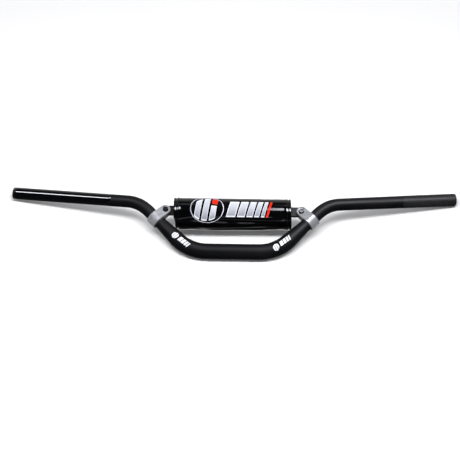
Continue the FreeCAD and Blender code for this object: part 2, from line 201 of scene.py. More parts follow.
class Shader:
    """A Principled material and the few node shapes that the materials here share."""

    def __init__(self, name, colour, roughness, metallic=0.0, specular=0.5):
        self.material = bpy.data.materials.new(name)
        self.material.use_nodes = True
        self.tree = self.material.node_tree
        self.surface = self.tree.nodes["Principled BSDF"]
        self.set("Base Color", (*colour, 1.0))
        self.set("Roughness", roughness)
        self.set("Metallic", metallic)
        self.set("Specular IOR Level", specular)
        self.height = None

    def set(self, socket, value):
        self.surface.inputs[socket].default_value = value

    def link(self, source, target):
        self.tree.links.new(source, target)

    def node(self, kind, **values):
        made = self.tree.nodes.new("ShaderNode" + kind)
        for key, value in values.items():
            setattr(made, key, value)
        return made

    def coords(self, stretch=(1, 1, 1)):
        where = self.node("TexCoord")
        mapping = self.node("Mapping")
        mapping.inputs["Scale"].default_value = stretch
        self.link(where.outputs["Object"], mapping.inputs["Vector"])
        return mapping.outputs["Vector"]

    def noise(self, scale, detail=3.0, vector=None, rough=0.5):
        made = self.node("TexNoise")
        made.inputs["Scale"].default_value = scale
        made.inputs["Detail"].default_value = detail
        made.inputs["Roughness"].default_value = rough
        self.link(vector or self.coords(), made.inputs["Vector"])
        return made.outputs["Fac"]

    def cells(self, scale):
        made = self.node("TexVoronoi", feature="F1")
        made.inputs["Scale"].default_value = scale
        self.link(self.coords(), made.inputs["Vector"])
        return made.outputs["Distance"]

    def facing_down_the_slant(self):
        """How squarely the surface faces down along the bar's slanted tube on its own side."""
        where = self.node("TexCoord")
        place, facing = self.node("SeparateXYZ"), self.node("SeparateXYZ")
        self.link(where.outputs["Object"], place.inputs[0])
        self.link(where.outputs["Normal"], facing.inputs[0])
        side = self.math("SIGN", place.outputs["X"])
        inward = self.math("MULTIPLY", self.math("MULTIPLY", side, facing.outputs["X"]), -SLANT.x)
        down = self.math("MULTIPLY_ADD", facing.outputs["Y"], -SLANT.y, inward)
        return self.math("MULTIPLY_ADD", facing.outputs["Z"], -SLANT.z, down)

    def math(self, operation, a, b=0.0, c=None):
        made = self.node("Math", operation=operation)
        for index, value in enumerate((a, b) if c is None else (a, b, c)):
            if isinstance(value, (int, float)):
                made.inputs[index].default_value = value
            else:
                self.link(value, made.inputs[index])
        return made.outputs[0]

    def spread(self, value, low, high, start=0.3, end=0.7):
        """The value's range from start to end, stretched over low to high."""
        made = self.node("MapRange")
        for name, number in zip(RAMP_SOCKETS, (start, end, low, high)):
            made.inputs[name].default_value = number
        self.link(value, made.inputs["Value"])
        return made.outputs[0]

    def mix(self, share, first, second):
        made = self.node("Mix", data_type="RGBA")
        sockets = [made.inputs["Factor"], made.inputs[6], made.inputs[7]]
        for socket, value in zip(sockets, (share, first, second)):
            if isinstance(value, tuple):
                socket.default_value = (*value, 1.0)
            elif isinstance(value, (int, float)):
                socket.default_value = value
            else:
                self.link(value, socket)
        return made.outputs[2]

    def colour(self, value):
        self.link(value, self.surface.inputs["Base Color"])

    def mottle(self, value, dark, light):
        """Vary the colour between two tones with a texture."""
        self.colour(self.mix(self.spread(value, 0.0, 1.0), dark, light))

    def roughness(self, value):
        self.link(value, self.surface.inputs["Roughness"])

    def bump(self, value, depth, strength=1.0):
        made = self.node("Bump")
        made.inputs["Distance"].default_value = depth
        made.inputs["Strength"].default_value = strength
        self.link(value, made.inputs["Height"])
        if self.height is not None:
            self.link(self.height, made.inputs["Normal"])
        self.height = made.outputs["Normal"]
        self.link(self.height, self.surface.inputs["Normal"])


def bar_material():
    """Black anodised aluminium with a fine blasted grain."""
    shader = Shader("black_anodised_bar", (0.002, 0.002, 0.003), 0.48, specular=0.045)
    blotches = shader.noise(26.0, 4.0)
    shader.roughness(shader.spread(blotches, 0.45, 0.53))
    shader.mottle(blotches, (0.0014, 0.0014, 0.0022), (0.0028, 0.0028, 0.0040))
    shader.bump(shader.noise(2600.0, 2.0), 0.00003, 0.5)
    shader.bump(shader.noise(500.0, 2.0, shader.coords((0.02, 1.0, 1.0))), 0.000004, 0.35)
    return shader.material


def polished_material():
    """The same black finish, polished by a turning throttle tube, with faint lengthwise scratches."""
    shader = Shader("polished_black", (0.001, 0.001, 0.002), 0.10, specular=0.14)
    haze = shader.noise(60.0, 3.0)
    shader.roughness(shader.spread(haze, 0.07, 0.13))
    shader.mottle(haze, (0.0006, 0.0006, 0.0012), (0.0018, 0.0018, 0.0026))
    shader.bump(shader.noise(500.0, 2.0, shader.coords((0.02, 1.0, 1.0))), 0.000004, 0.35)
    return shader.material


def black_part_material(name, tone, rough, specular):
    """Black anodised or oxide finish on a small machined part."""
    shader = Shader(name, (tone, tone, tone * 1.12), rough, specular=specular)
    patches = shader.noise(90.0, 4.0)
    shader.roughness(shader.spread(patches, rough - 0.05, rough + 0.07))
    low, high = tone * 0.8, tone * 1.3
    shader.mottle(patches, (low, low, low * 1.1), (high, high, high * 1.1))
    shader.bump(shader.noise(1800.0, 2.0), 0.00002, 0.5)
    return shader.material


CLAMP_PAINTED_SHADE_RANGE = (0.80, 0.93)  # how squarely a clamp's face looks down the slant where its painted shade starts and where it is full


def clamp_material():
    """Silver anodised aluminium, blasted, with faint machining lines; faces that look down the slant are painted
    near black, a painted shade.
    """
    shader = Shader("silver_clamp", (0.20, 0.20, 0.22), 0.28, metallic=0.22, specular=0.05)
    patches = shader.noise(120.0, 5.0)
    lines = shader.noise(900.0, 2.0, shader.coords((0.06, 1.0, 1.0)))
    shader.roughness(shader.spread(patches, 0.25, 0.32))
    tint = shader.mix(shader.spread(patches, 0.0, 1.0), (0.188, 0.191, 0.206), (0.204, 0.207, 0.222))
    lined = shader.mix(shader.spread(lines, 0.0, 0.25), tint, (0.26, 0.26, 0.28))
    # Painted shade: faces that look down the slant, towards the tube and the floor, are coloured near black as if
    # in shade.
    painted_side_shade = shader.spread(shader.facing_down_the_slant(), 0.0, 1.0, *CLAMP_PAINTED_SHADE_RANGE)
    shader.colour(shader.mix(painted_side_shade, lined, (0.010, 0.010, 0.011)))
    shader.bump(shader.noise(2200.0, 2.0), 0.00002, 0.6)
    shader.bump(lines, 0.000008, 0.5)
    return shader.material


def steel_material(name, tone, rough):
    """Plated or blackened steel of the fasteners."""
    shader = Shader(name, (tone, tone, tone), rough, metallic=1.0)
    patches = shader.noise(300.0, 4.0)
    shader.roughness(shader.spread(patches, rough - 0.06, rough + 0.10))
    shader.mottle(patches, (tone * 0.8,) * 3, (tone * 1.15,) * 3)
    shader.bump(shader.noise(1500.0, 3.0), 0.000015, 0.6)
    return shader.material


def rubber_material():
    """Dull speckled rubber of the clamps' liners."""
    shader = Shader("liner_rubber", (0.008, 0.008, 0.008), 0.7, specular=0.3)
    speckle = shader.noise(1400.0, 3.0)
    shader.roughness(shader.spread(speckle, 0.6, 0.85))
    shader.mottle(speckle, (0.006,) * 3, (0.014,) * 3)
    shader.bump(speckle, 0.00004, 0.7)
    return shader.material


def vinyl_material():
    """Glossy black coated vinyl with a slight orange peel."""
    shader = Shader("gloss_vinyl", (0.001, 0.001, 0.0013), 0.08, specular=0.12)
    haze = shader.noise(45.0, 4.0)
    shader.roughness(shader.spread(haze, 0.06, 0.10))
    shader.mottle(haze, (0.0006, 0.0006, 0.0008), (0.0016, 0.0016, 0.0020))
    shader.bump(shader.noise(420.0, 2.0), 0.00003, 0.35)
    shader.bump(shader.cells(1500.0), 0.00001, 0.4)
    return shader.material


def foam_material():
    """Closed-cell foam, dark grey, with open pores on its cut faces."""
    shader = Shader("foam", (0.02, 0.02, 0.021), 0.92, specular=0.15)
    pores = shader.cells(900.0)
    shader.colour(shader.mix(shader.spread(pores, 0.0, 1.0, 0.1, 0.5), (0.008,) * 3, (0.032, 0.032, 0.034)))
    shader.bump(pores, 0.0004, 0.9)
    shader.bump(shader.noise(160.0, 3.0), 0.0004, 0.4)
    return shader.material


def tape_material():
    """Hook and loop tape: a fuzzy face over a woven back."""
    shader = Shader("fuzzy_tape", (0.016, 0.016, 0.016), 0.95, specular=0.1)
    fuzz = shader.noise(1800.0, 6.0, rough=0.8)
    shader.mottle(fuzz, (0.006,) * 3, (0.035,) * 3)
    shader.set("Sheen Weight", 0.35)
    shader.bump(fuzz, 0.0006, 0.9)
    return shader.material


def thread_material():
    """Twisted black sewing thread."""
    shader = Shader("black_thread", (0.006, 0.006, 0.006), 0.6, specular=0.05)
    twist = shader.noise(2500.0, 2.0)
    shader.mottle(twist, (0.003,) * 3, (0.010,) * 3)
    shader.bump(twist, 0.0001, 0.8)
    return shader.material


def print_material(name, top, bottom, edge):
    """Printed foil: a gradient down each mark, with a lighter outline, read from the mark's own UV."""
    shader = Shader(name, top, 0.15, specular=0.03)
    where = shader.node("TexCoord")
    split = shader.node("SeparateXYZ")
    shader.link(where.outputs["UV"], split.inputs[0])
    across, up = split.outputs["X"], split.outputs["Y"]
    brushed = shader.noise(700.0, 2.0, shader.coords((1.0, 0.04, 0.04)))
    fade = shader.mix(shader.spread(up, 0.0, 1.0, 0.05, 0.95), bottom, top)
    dull = tuple(value * 0.6 for value in bottom)
    dulled = shader.mix(shader.spread(brushed, 0.0, 0.22), fade, dull)
    side = shader.math("MINIMUM", across, shader.math("SUBTRACT", 1.0, across))
    end = shader.math("MINIMUM", up, shader.math("SUBTRACT", 1.0, up))
    outline = shader.spread(shader.math("MINIMUM", side, end), 1.0, 0.0, 0.05, 0.09)
    shader.colour(shader.mix(outline, dulled, edge))
    shader.roughness(shader.spread(brushed, 0.12, 0.18))
    shader.bump(brushed, 0.000006, 0.4)
    return shader.material


def floor_material():
    shader = Shader("pale_floor", (0.86, 0.86, 0.865), 0.75, specular=0.1)
    mottle = shader.noise(3.0, 4.0)
    shader.mottle(mottle, (0.85, 0.85, 0.855), (0.87, 0.87, 0.875))
    shader.bump(shader.noise(900.0, 2.0), 0.0001, 0.2)
    return shader.material


# ---------- mesh helpers ----------

def add_mesh(name, vertices, faces, material, smooth=True, uvs=None):
    mesh = bpy.data.meshes.new(name)
    mesh.from_pydata([tuple(v) for v in vertices], [], faces)
    if uvs is not None:
        layer = mesh.uv_layers.new(name="mark")
        for loop in mesh.loops:
            layer.data[loop.index].uv = uvs[loop.vertex_index]
    mesh.validate()
    mesh.update()
    mesh.shade_smooth() if smooth else mesh.shade_flat()
    mesh.materials.append(material)
    made = bpy.data.objects.new(name, mesh)
    bpy.context.scene.collection.objects.link(made)
    return made


def grid_faces(rows, columns, close_rows=False, close_columns=False, first=0, flip=False):
    """Quads of a grid whose points are stored row by row."""
    faces = []
    for i in range(rows if close_rows else rows - 1):
        for j in range(columns if close_columns else columns - 1):
            a, b = i, (i + 1) % rows
            c, d = j, (j + 1) % columns
            faces.append((first + a * columns + c, first + b * columns + c,
                          first + b * columns + d, first + a * columns + d))
    return [face[::-1] for face in faces] if flip else faces


def outward(piece):
    """Make a closed piece's faces look outwards."""
    mesh = bmesh.new()
    mesh.from_mesh(piece.data)
    bmesh.ops.remove_doubles(mesh, verts=mesh.verts, dist=1e-6)
    bmesh.ops.recalc_face_normals(mesh, faces=mesh.faces)
    mesh.to_mesh(piece.data)
    mesh.free()
    piece.data.update()
    return piece


def search_tree(mesh):
    return BVHTree.FromPolygons([v.co for v in mesh.vertices], [tuple(p.vertices) for p in mesh.polygons])


def smoothstep(value):
    value = min(1.0, max(0.0, value))
    return value * value * (3 - 2 * value)


def hump(distance, half_width):
    """A smooth bump of height 1 at distance 0 that ends at half_width."""
    return smoothstep(1 - abs(distance) / half_width)


# ---------- bar ----------

KNURL_LENGTH = 0.097
KNURL_PITCH = 0.0016
KNURL_DEPTH = 0.00022
KNURL_ENDS = 0.00004  # how far the knurled sleeve dips into the arm at its two ends
KNURL_VALLEYS = 0.00006  # how far the knurl's valleys stand above those ends
SLEEVE_TIP_GAP = 0.0010  # from a straight arm's end to the sleeve over it, clear of the tip's chamfer
SLEEVE_ROOT = 0.0003  # how deep a sleeve's hidden inner wall lies
POLISHED_X = 0.2186  # how far out the polished part of the throttle arm starts
POLISHED_LIFT = 0.00003


def arm_sleeve(name, mount, length, rows, columns, lift, finish):
    """A finish with a body of its own: a closed skin round one arm, lift(down, around) above it."""
    seat = mounts[mount]
    axis = Vector(seat["axis"])
    radius = seat["dims"]["r_mm"] * MM
    tip = Vector(seat["pos_m"]) + axis * (seat["dims"]["length_mm"] * MM / 2)
    side = axis.orthogonal().normalized()
    other = axis.cross(side)
    stations = [(0.0, False)] + [(length * i / rows, True) for i in range(rows + 1)] + [(length, False)]
    points = []
    for down, outside in stations:
        for j in range(columns):
            around = 2 * math.pi * j / columns
            r = radius + (lift(down, around) if outside else -SLEEVE_ROOT)
            points.append(tip - axis * (SLEEVE_TIP_GAP + down)
                          + (side * math.cos(around) + other * math.sin(around)) * r)
    faces = grid_faces(len(stations), columns, close_rows=True, close_columns=True)
    made = outward(add_mesh(name, points, faces, finish))
    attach(made, "bar")


def knurl():
    """Raised diamond knurl on the clutch arm."""
    radius = mounts["right_grip_seat"]["dims"]["r_mm"] * MM
    teeth = round(2 * math.pi * radius / KNURL_PITCH)

    def lift(down, around):
        fade = smoothstep(min(down, KNURL_LENGTH - down) / KNURL_PITCH)
        phase = math.pi * down / KNURL_PITCH
        left = abs(math.sin(teeth * around / 2 + phase))
        right = abs(math.sin(teeth * around / 2 - phase))
        return -KNURL_ENDS + (KNURL_VALLEYS + KNURL_DEPTH * min(left, right)) * fade

    rows = int(KNURL_LENGTH / (KNURL_PITCH / 4))
    arm_sleeve("grip_knurl", "right_grip_seat", KNURL_LENGTH, rows, teeth * 4, lift, knurl_finish)


def polish():
    """Polished stretch of the throttle arm, a skin just proud of the tube."""
    seat = mounts["left_grip_seat"]
    tip_x = seat["pos_m"][0] + seat["axis"][0] * seat["dims"]["length_mm"] * MM / 2
    length = (abs(tip_x) - POLISHED_X) / abs(seat["axis"][0]) - SLEEVE_TIP_GAP
    arm_sleeve("polished_arm", "left_grip_seat", length, 40, 96,
               lambda down, around: POLISHED_LIFT, polished_finish)


# ---------- crossbar pad ----------

COVER_LOW, COVER_HIGH = mounted_box("pad_cover")
BINDING_LEFT = mounted_box("cover_binding_left")[0].x
BINDING_RIGHT = mounted_box("cover_binding_right")[1].x
PAD_CENTRE = (COVER_LOW + COVER_HIGH) / 2
COVER_THICK = 0.0012
PAD_HALF_RISE = 0.0270
PAD_HALF_FRONT = 0.0255
PAD_MID_RISE = 0.0745
PAD_MID_FRONT = -0.0020
SQUARENESS = 2.12  # exponent of the pad's section: 2 is an ellipse
FRONT_SQUARENESS = 2.3  # the same, below the middle of its front
GAP_LOW, GAP_HIGH = 0.0760, 0.0840  # rise of the cover's two edges, where it closes behind
REAR_END = 0.62  # share of the girth, from the front over the top, where the rear side ends


def squareness(rise, front):
    """Exponent of the section in the quarter where a point, measured from its middle, lies."""
    return FRONT_SQUARENESS if rise < 0 < front else SQUARENESS


def section_table(steps=1440):
    """Points round the pad's section from its front middle upwards, with their distance round."""
    table, length, last = [], 0.0, None
    for i in range(steps + 1):
        turn = 2 * math.pi * i / steps
        s, c = math.sin(turn), math.cos(turn)
        power = 2 / squareness(s, c)
        point = Vector((PAD_HALF_RISE * math.copysign(abs(s) ** power, s),
                        PAD_HALF_FRONT * math.copysign(abs(c) ** power, c)))
        if last is not None:
            length += (point - last).length
        table.append((length, point))
        last = point
    return table


SECTION = section_table()
GIRTH = SECTION[-1][0]


def section(around):
    """Point (rise, front) and outward normal of the section, at a distance round it from its front."""
    around %= GIRTH
    low, high = 0, len(SECTION) - 1
    while high - low > 1:
        middle = (low + high) // 2
        if SECTION[middle][0] <= around:
            low = middle
        else:
            high = middle
    (a, p), (b, q) = SECTION[low], SECTION[high]
    share = (around - a) / max(b - a, 1e-9)
    ahead, behind = SECTION[(high + 2) % len(SECTION)][1], SECTION[(low - 2) % (len(SECTION) - 1)][1]
    along = (ahead - behind).normalized()
    return p.lerp(q, share), Vector((-along.y, along.x))


def pad_point(x, around, offset=0.0):
    """A point of the pad in the mounted frame, offset outwards from its section."""
    point, normal = section(around)
    point = point + normal * offset
    return Vector((x, PAD_MID_RISE + point.x, PAD_MID_FRONT + point.y))


def around_at_rear(rise):
    """Distance round the section to a rise on its rear side, going over the top."""
    best = min((entry for entry in SECTION if entry[1].y < 0 and entry[0] < GIRTH * REAR_END),
               key=lambda entry: abs(PAD_MID_RISE + entry[1].x - rise))
    return best[0]


COVER_TOP_EDGE = around_at_rear(GAP_HIGH)
COVER_LOW_EDGE = around_at_rear(GAP_LOW) - GIRTH
SAG_AROUND = -0.0520  # distance round the section, from the front, of the line that hangs lowest
SAG_HALF_WIDTH = 0.0240
SAG_MIDDLE = 0.0027
SAG_SLOPE = 0.0025  # how much more it hangs at the left end than at the right
SAG_ENDS = 0.0026  # how fast it eases towards both ends
SAG_AT_TUBE = 0.35  # share kept at the left end, where the turned pad nears the slanted tube
SAG_FADE = 0.07  # share of the pad's length over which the whole sag comes back
FLARE_REACH = 0.03  # how far in from the pad's ends the flare starts
FLARE_LEFT = 0.0030
FLARE_RIGHT, FLARE_RIGHT_LEAST = 0.0022, 0.0003
FLARE_RIGHT_BACK = 0.22  # share of the girth, from the front, where the right end stands out least
HEM = 0.0052  # from the pad's end to the seam of its hem
SEAM_DEPTH = 0.00075
HEM_TURN_IN = 0.0030
HEM_EDGE_ROLL = 0.0009  # how far the rolled edge drops
HEM_BULGE = 0.00028
HEM_PUFF = 0.00050
SLACK_REACH = 0.02  # how far from a sewn edge the folds reach their full depth
SLACK_FROM_EDGE = 0.004  # and how far from the closure's edges they start


def hem_profile(inside):
    """How far the cover stands out at a distance in from its end: rolled edge, hem, seam, puff."""
    edge = -HEM_EDGE_ROLL * (1 - smoothstep(inside / 0.0014))
    bulge = HEM_BULGE * hump(inside - 0.0028, 0.0026)
    seam = -SEAM_DEPTH * hump(inside - HEM, 0.0013)
    puff = HEM_PUFF * hump(inside - HEM - 0.0030, 0.0030)
    return edge + bulge + seam + puff


FOLD_WANDER = 0.0006
FOLD_SHOULDER = 0.55  # height of the ridge above each fold, as a share of the fold's depth
RIPPLE = 0.00010
FOLDS = [
    # distance round from the front, drift over half the length, depth, half width, share of length, middle
    (-0.0180, 0.0008, 0.00055, 0.0040, 1.0, 0.0),
    (-0.0250, -0.0022, 0.00075, 0.0042, 1.0, 0.0),
    (-0.0425, 0.0035, 0.00070, 0.0050, 0.9, 0.01),
    (0.0335, 0.0015, 0.00025, 0.0050, 0.9, 0.0),
    (0.0560, -0.0040, 0.00050, 0.0060, 0.8, 0.03),
]


def fold_depth(x, around):
    """Long shallow folds that run from hem to hem, and a slight ripple away from the taut front."""
    along = (x - PAD_CENTRE.x) / ((COVER_HIGH.x - COVER_LOW.x) / 2)
    depth = 0.0
    for place, drift, deep, width, share, middle in FOLDS:
        line = place + drift * along + FOLD_WANDER * math.sin(3.1 * along + place * 300)
        fade = smoothstep((1 - abs(along - middle * 2) / share) * 2.2)
        depth -= deep * fade * hump(around - line, width)
        depth += deep * FOLD_SHOULDER * fade * hump(around - line - width * 1.1, width)
    off_front = smoothstep((abs(around) - 0.010) / 0.012)
    ripple = noise.noise(Vector((x * 22, around * 60, 3.7))) * RIPPLE
    return depth + ripple * off_front


def flare(x, around):
    """How far the cover's end stands out: below at the right, above and in front at the left."""
    if x > PAD_CENTRE.x:
        turn = 2 * math.pi * (around / GIRTH - FLARE_RIGHT_BACK)
        return FLARE_RIGHT * (0.5 - 0.5 * math.cos(turn)) + FLARE_RIGHT_LEAST
    share = around / GIRTH
    return FLARE_LEFT * (smoothstep((share + 0.185) / 0.10) * smoothstep((0.55 - share) / 0.15))


def sag(x, around):
    """How far the slack vinyl hangs off the pad below and behind, most of all at the left."""
    along = (x - PAD_CENTRE.x) / (COVER_HIGH.x - COVER_LOW.x)
    kept = SAG_AT_TUBE + (1 - SAG_AT_TUBE) * smoothstep((along + 0.5) / SAG_FADE)
    depth = (SAG_MIDDLE - SAG_SLOPE * along - SAG_ENDS * along ** 2) * kept
    return depth * hump(around - SAG_AROUND, SAG_HALF_WIDTH)


TURNED_IN = [(0.0009, -HEM_TURN_IN), (0.0004, -0.0021), (0.0, -0.0012)]  # distance in, offset
HEM_COLUMNS = [0.0004, 0.0009, 0.0015, 0.0022, 0.0030, 0.0037, 0.0042, 0.0046, 0.0049, 0.0052, 0.0055,
               0.0058, 0.0062, 0.0068, 0.0076, 0.0085, 0.0096, 0.0110]
PLAIN_START = 0.0127  # distance in from the pad's ends where the even columns start
PLAIN_COLUMNS = 92
COVER_ROWS = 150


def cover_columns():
    """Where the cover's points stand along the pad: x, offset, and distance from the nearer end."""
    left, right = BINDING_LEFT, BINDING_RIGHT
    start, stop = left + PLAIN_START, right - PLAIN_START
    plain = [start + (stop - start) * i / (PLAIN_COLUMNS - 1) for i in range(PLAIN_COLUMNS)]
    columns = [(left + depth, offset, 0.0) for depth, offset in TURNED_IN]
    columns += [(left + depth, hem_profile(depth), depth) for depth in HEM_COLUMNS]
    columns += [(x, hem_profile(min(x - left, right - x)), min(x - left, right - x)) for x in plain]
    columns += [(right - depth, hem_profile(depth), depth) for depth in reversed(HEM_COLUMNS)]
    columns += [(right - depth, offset, 0.0) for depth, offset in reversed(TURNED_IN)]
    return columns


def cover_grid():
    """The cover's outer surface in the mounted frame, as rows round the pad of points along it."""
    rows = COVER_ROWS
    columns = cover_columns()
    points = []
    for i in range(rows):
        around = COVER_LOW_EDGE + (COVER_TOP_EDGE - COVER_LOW_EDGE) * i / (rows - 1)
        from_edge = min(i, rows - 1 - i) * (COVER_TOP_EDGE - COVER_LOW_EDGE) / (rows - 1)
        for x, offset, inside in columns:
            slack = (smoothstep((inside - HEM) / SLACK_REACH)
                     * smoothstep((from_edge - SLACK_FROM_EDGE) / SLACK_REACH))
            lift = offset + fold_depth(x, around) * slack + sag(x, around)
            reach = flare(x, around) * smoothstep(1 - inside / FLARE_REACH)
            outwards = math.copysign(reach, x - PAD_CENTRE.x)
            points.append(pad_point(x + outwards, around, lift))
    return points, rows, len(columns)


TAUT_MIDDLE = 0.006  # the cover is pulled tight over the front, round this line
TAUT_HALF_WIDTH = 0.026
TAUT_FADE = 0.010
TAUT_HOLD = 0.9
SEWN_COLUMNS = (12, 10)  # columns held at each end, then columns over which the hold fades
SEWN_ROWS = (3, 5)  # the same for rows, along the closure's edges
LEAST_HOLD = 0.02
SETTLE_FRAMES = 16
SETTLE_MOST = 0.0005  # the farthest that settling may move a point
SETTLE_SMOOTHING = 8
CLOTH = {"quality": 6, "mass": 0.3, "tension_stiffness": 30, "compression_stiffness": 12,
         "shear_stiffness": 8, "bending_stiffness": 3.0, "vertex_group_mass": "sewn", "pin_stiffness": 1.0,
         "shrink_min": -0.004, "use_pressure": True, "uniform_pressure_force": 0.6}


def smoothed(steps, rows, columns):
    """Each move averaged with those of its neighbours on the grid; the grid's edges stay."""
    out = list(steps)
    for i in range(1, rows - 1):
        for j in range(1, columns - 1):
            k = i * columns + j
            out[k] = (steps[k] * 2 + steps[k - 1] + steps[k + 1]
                      + steps[k - columns] + steps[k + columns]) / 6
    return out


def settle(points, rows, columns):
    """Cloth with a little air under it, sewn down at its edges. Only small, evened-out moves are kept:
    the folds and the sag are already in the points."""
    sheet = add_mesh("vinyl_sim", points, grid_faces(rows, columns, flip=True), vinyl)
    sewn = sheet.vertex_groups.new(name="sewn")
    for i in range(rows):
        for j in range(columns):
            x_edge = min(j, columns - 1 - j)
            y_edge = min(i, rows - 1 - i)
            around = COVER_LOW_EDGE + (COVER_TOP_EDGE - COVER_LOW_EDGE) * i / (rows - 1)
            taut = TAUT_HOLD * smoothstep((TAUT_HALF_WIDTH - abs(around - TAUT_MIDDLE)) / TAUT_FADE)
            hold = max(1 - smoothstep((x_edge - SEWN_COLUMNS[0]) / SEWN_COLUMNS[1]),
                       1 - smoothstep((y_edge - SEWN_ROWS[0]) / SEWN_ROWS[1]), taut)
            if hold > LEAST_HOLD:
                sewn.add([i * columns + j], hold, "REPLACE")
    cloth = sheet.modifiers.new("cloth", "CLOTH")
    for name, value in CLOTH.items():
        setattr(cloth.settings, name, value)
    cloth.settings.effector_weights.gravity = 0
    cloth.point_cache.frame_start, cloth.point_cache.frame_end = 1, SETTLE_FRAMES
    scene = bpy.context.scene
    for frame_number in range(1, SETTLE_FRAMES + 1):
        scene.frame_set(frame_number)
    shaped = sheet.evaluated_get(bpy.context.evaluated_depsgraph_get())
    moved = [v.co.copy() for v in shaped.data.vertices]
    scene.frame_set(1)
    bpy.data.objects.remove(sheet)
    steps = []
    for start, end in zip(points, moved):
        step = end - start
        steps.append(step if step.length < SETTLE_MOST else step * (SETTLE_MOST / step.length))
    for _ in range(SETTLE_SMOOTHING):
        steps = smoothed(steps, rows, columns)
    return [start + step for start, step in zip(points, steps)]


def thicken(piece, thick):
    """Give a sheet its thickness, inwards from its outer face."""
    solid = piece.modifiers.new("thickness", "SOLIDIFY")
    solid.thickness = thick
    solid.offset = -1.0
    solid.use_rim = True
    solid.use_even_offset = True


def pad_cover():
    """The wrapped vinyl cover with its two sewn ends; gives a search tree of its outer face."""
    points, rows, columns = cover_grid()
    points = settle(points, rows, columns)
    made = add_mesh("pad_vinyl", [LAY @ p for p in points], grid_faces(rows, columns, flip=True), vinyl)
    tree = search_tree(made.data)
    thicken(made, COVER_THICK)
    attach(made, "pad")
    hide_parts("pad_cover", "cover_binding_left", "cover_binding_right")
    return tree


PROBE_START = 0.012  # how far off the section the search for the cover starts
PROBE_REACH = 0.03


def on_cover(tree, x, around, lift):
    """A point on the finished cover above a place given along and round the pad."""
    outer = LAY @ pad_point(x, around, PROBE_START)
    inner = LAY @ pad_point(x, around, 0.0)
    aim = (inner - outer).normalized()
    place = tree.ray_cast(outer, aim, PROBE_REACH)[0]
    return (place if place is not None else inner) - aim * lift


# ---------- printed marks ----------

PRINT_LIFT = 0.00016  # how far most marks lie above the surface that carries them
BAR_PRINT_LIFT = 0.00008


def print_patch(name, place, body, material, rows, columns, flip=True):
    """A thin printed mark: place(across, up) gives its points for shares from 0 to 1."""
    points, uvs = [], []
    for i in range(rows):
        for j in range(columns):
            across, up = j / (columns - 1), i / (rows - 1)
            points.append(place(across, up))
            uvs.append((across, up))
    made = add_mesh(name, points, grid_faces(rows, columns, flip=flip), material, uvs=uvs)
    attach(made, body)


def slanted_bar(put, left, width, low, high, lean, lift=PRINT_LIFT):
    """Places of an upright bar that leans to the right as it rises."""
    def place(across, up):
        y = low + (high - low) * up
        return put(left + width * across + lean * (y - low), y, lift)
    return place


def ring(put, middle, half_wide, half_high, thick):
    """Places of an elliptical ring; thick is a share of its outer size."""
    def place(across, up):
        turn = 2 * math.pi * across
        r = 1 - thick * (1 - up)
        return put(middle[0] + half_wide * r * math.cos(turn), middle[1] + half_high * r * math.sin(turn),
                   PRINT_LIFT)
    return place


ROUNDEL = (-0.0470, -0.0008)  # its middle: along the pad, and round it from the front
ROUNDEL_HALF = (0.0300, 0.0275)
ROUNDEL_RING = 0.042
ROUNDEL_LEAN, BAR_LEAN = 0.16, 0.26
PAD_INSET, BAR_INSET = 0.86, 0.96  # share of the roundel that its stripes fill
STRIPE_WIDTH = 0.0100
PAD_BARS_LEFT, PAD_BARS_LOW, PAD_BARS_HIGH = -0.0130, -0.0160, 0.0140
PAD_BAR_WIDTHS = [0.0165, 0.0135, 0.0110, 0.0085, 0.0060, 0.0040]
PAD_BAR_GAP = 0.0032


def clipped_bar(put, middle, half, left, width, lean, inset, low=-1.0, high=1.0):
    """A leaning bar cut to the inside of an ellipse; low and high are shares of its chord."""
    def chord(x):
        reach = max(0.0, 1 - (x / (half[0] * inset)) ** 2)
        return half[1] * inset * math.sqrt(reach)

    def place(across, up):
        x = left + width * across
        tall = chord(x)
        y = tall * (low + (high - low) * up)
        return put(middle[0] + x + lean * y, middle[1] + y, PRINT_LIFT)
    return place


def pad_marks(tree):
    """A plain roundel with leaning stripes, and a row of leaning bars beside it."""
    def put(x, around, lift):
        return on_cover(tree, x, around, lift)

    print_patch("roundel_ring", ring(put, ROUNDEL, *ROUNDEL_HALF, ROUNDEL_RING), "pad", silver_print,
                3, 97, flip=False)
    stripes = [(-0.0210, -1.0, 1.0, silver_print), (-0.0070, -1.0, 1.0, silver_print),
               (0.0070, -1.0, 0.25, silver_print), (0.0070, 0.42, 1.0, red_print)]
    for index, (left, low, high, ink) in enumerate(stripes):
        place = clipped_bar(put, ROUNDEL, ROUNDEL_HALF, left, STRIPE_WIDTH,
                            ROUNDEL_LEAN, PAD_INSET, low, high)
        print_patch("roundel_stripe_%d" % (index + 1), place, "pad", ink, 25, 9)
    left = PAD_BARS_LEFT
    for index, width in enumerate(PAD_BAR_WIDTHS):
        ink = red_print if index == len(PAD_BAR_WIDTHS) - 1 else silver_print
        place = slanted_bar(put, left, width, PAD_BARS_LOW, PAD_BARS_HIGH, BAR_LEAN)
        print_patch("pad_bar_%d" % (index + 1), place, "pad", ink, 25, 9)
        left += width + PAD_BAR_GAP


DECAL_MIDDLE = (0.0905, 0.0150)
DECAL_SLOPE = math.radians(39.0)
DECAL_PROBE = 0.05  # how far in front of the bar the search for its surface starts
DECAL_ROUNDEL, DECAL_ROUNDEL_HALF = (-0.0160, 0.0), (0.0062, 0.0062)
DECAL_STRIPES, DECAL_STRIPE_WIDTH = (-0.0056, -0.0016, 0.0024), 0.0032
DECAL_BARS_LEFT, DECAL_BARS_LOW, DECAL_BARS_HIGH = -0.0080, -0.0042, 0.0046
DECAL_BAR_WIDTHS = [0.0062, 0.0050, 0.0040, 0.0026]
DECAL_BAR_GAP = 0.0014


